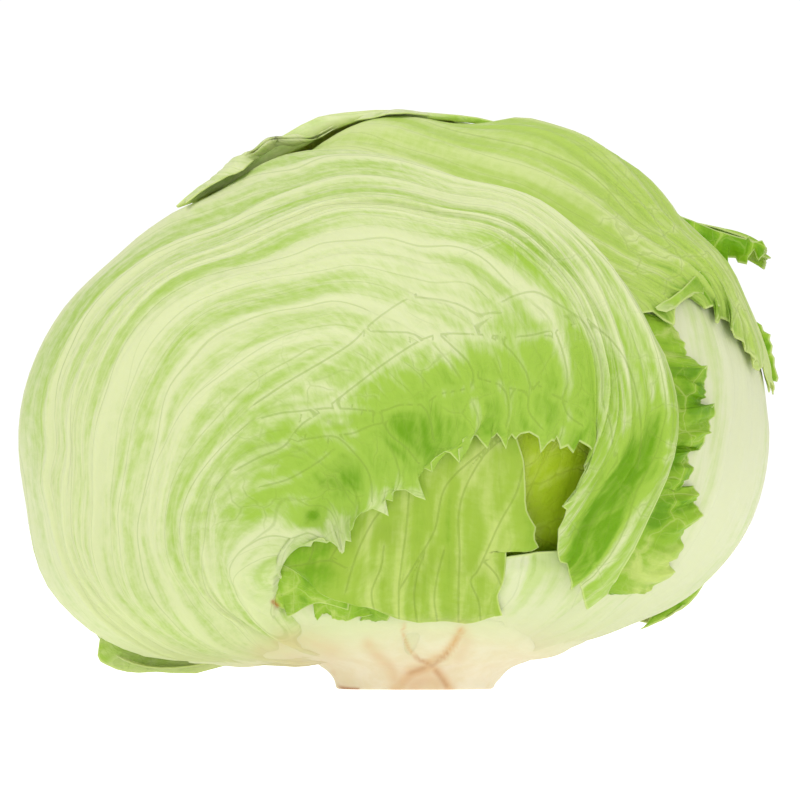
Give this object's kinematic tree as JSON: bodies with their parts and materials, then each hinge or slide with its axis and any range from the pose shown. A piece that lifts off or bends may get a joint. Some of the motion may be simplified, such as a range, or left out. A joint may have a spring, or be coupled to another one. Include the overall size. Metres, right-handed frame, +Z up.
{
  "type": "head of crisphead lettuce",
  "caption": "Trimmed crisphead lettuce standing on the cut face of its stem, with wrapper leaves folded over each other round a tight heart.",
  "frame": {"origin": "middle of the flat cut face of the stem, on which the head stands", "axes": "+Z up out of the cut face, -Y the front that the picture shows, +X to the right of the front"},
  "size_m": [0.1755, 0.1506, 0.1314],
  "materials": {
    "stem": "moist pale cream flesh with an orange-brown leaf scar",
    "heart": "pale yellow-green overlapping inner leaves",
    "inner_leaf": "soft green leaf, slightly translucent, satin",
    "pale_leaf": "near-white leaf base with pale green streaks, satin",
    "dark_leaf": "deeper green frilled leaf, satin",
    "wrapper_leaf": "light green leaf with pale broad ribs and fine darker veins, satin"
  },
  "bodies": {
    "root": {"stem": "stem", "heart": "heart", "heart_leaf": "inner_leaf", "pale_base_leaf": "pale_leaf", "inner_base_leaf": "pale_leaf", "right_leaf": "pale_leaf", "frilled_leaf": "dark_leaf", "small_frill_leaf": "dark_leaf", "tucked_leaf": "dark_leaf", "torn_leaf": "inner_leaf", "shoulder_leaf": "wrapper_leaf", "upper_tip_leaf": "dark_leaf", "front_wrapper_leaf": "wrapper_leaf", "left_back_leaf": "wrapper_leaf", "right_back_leaf": "wrapper_leaf", "top_back_leaf": "wrapper_leaf"}
  },
  "joints": []
}
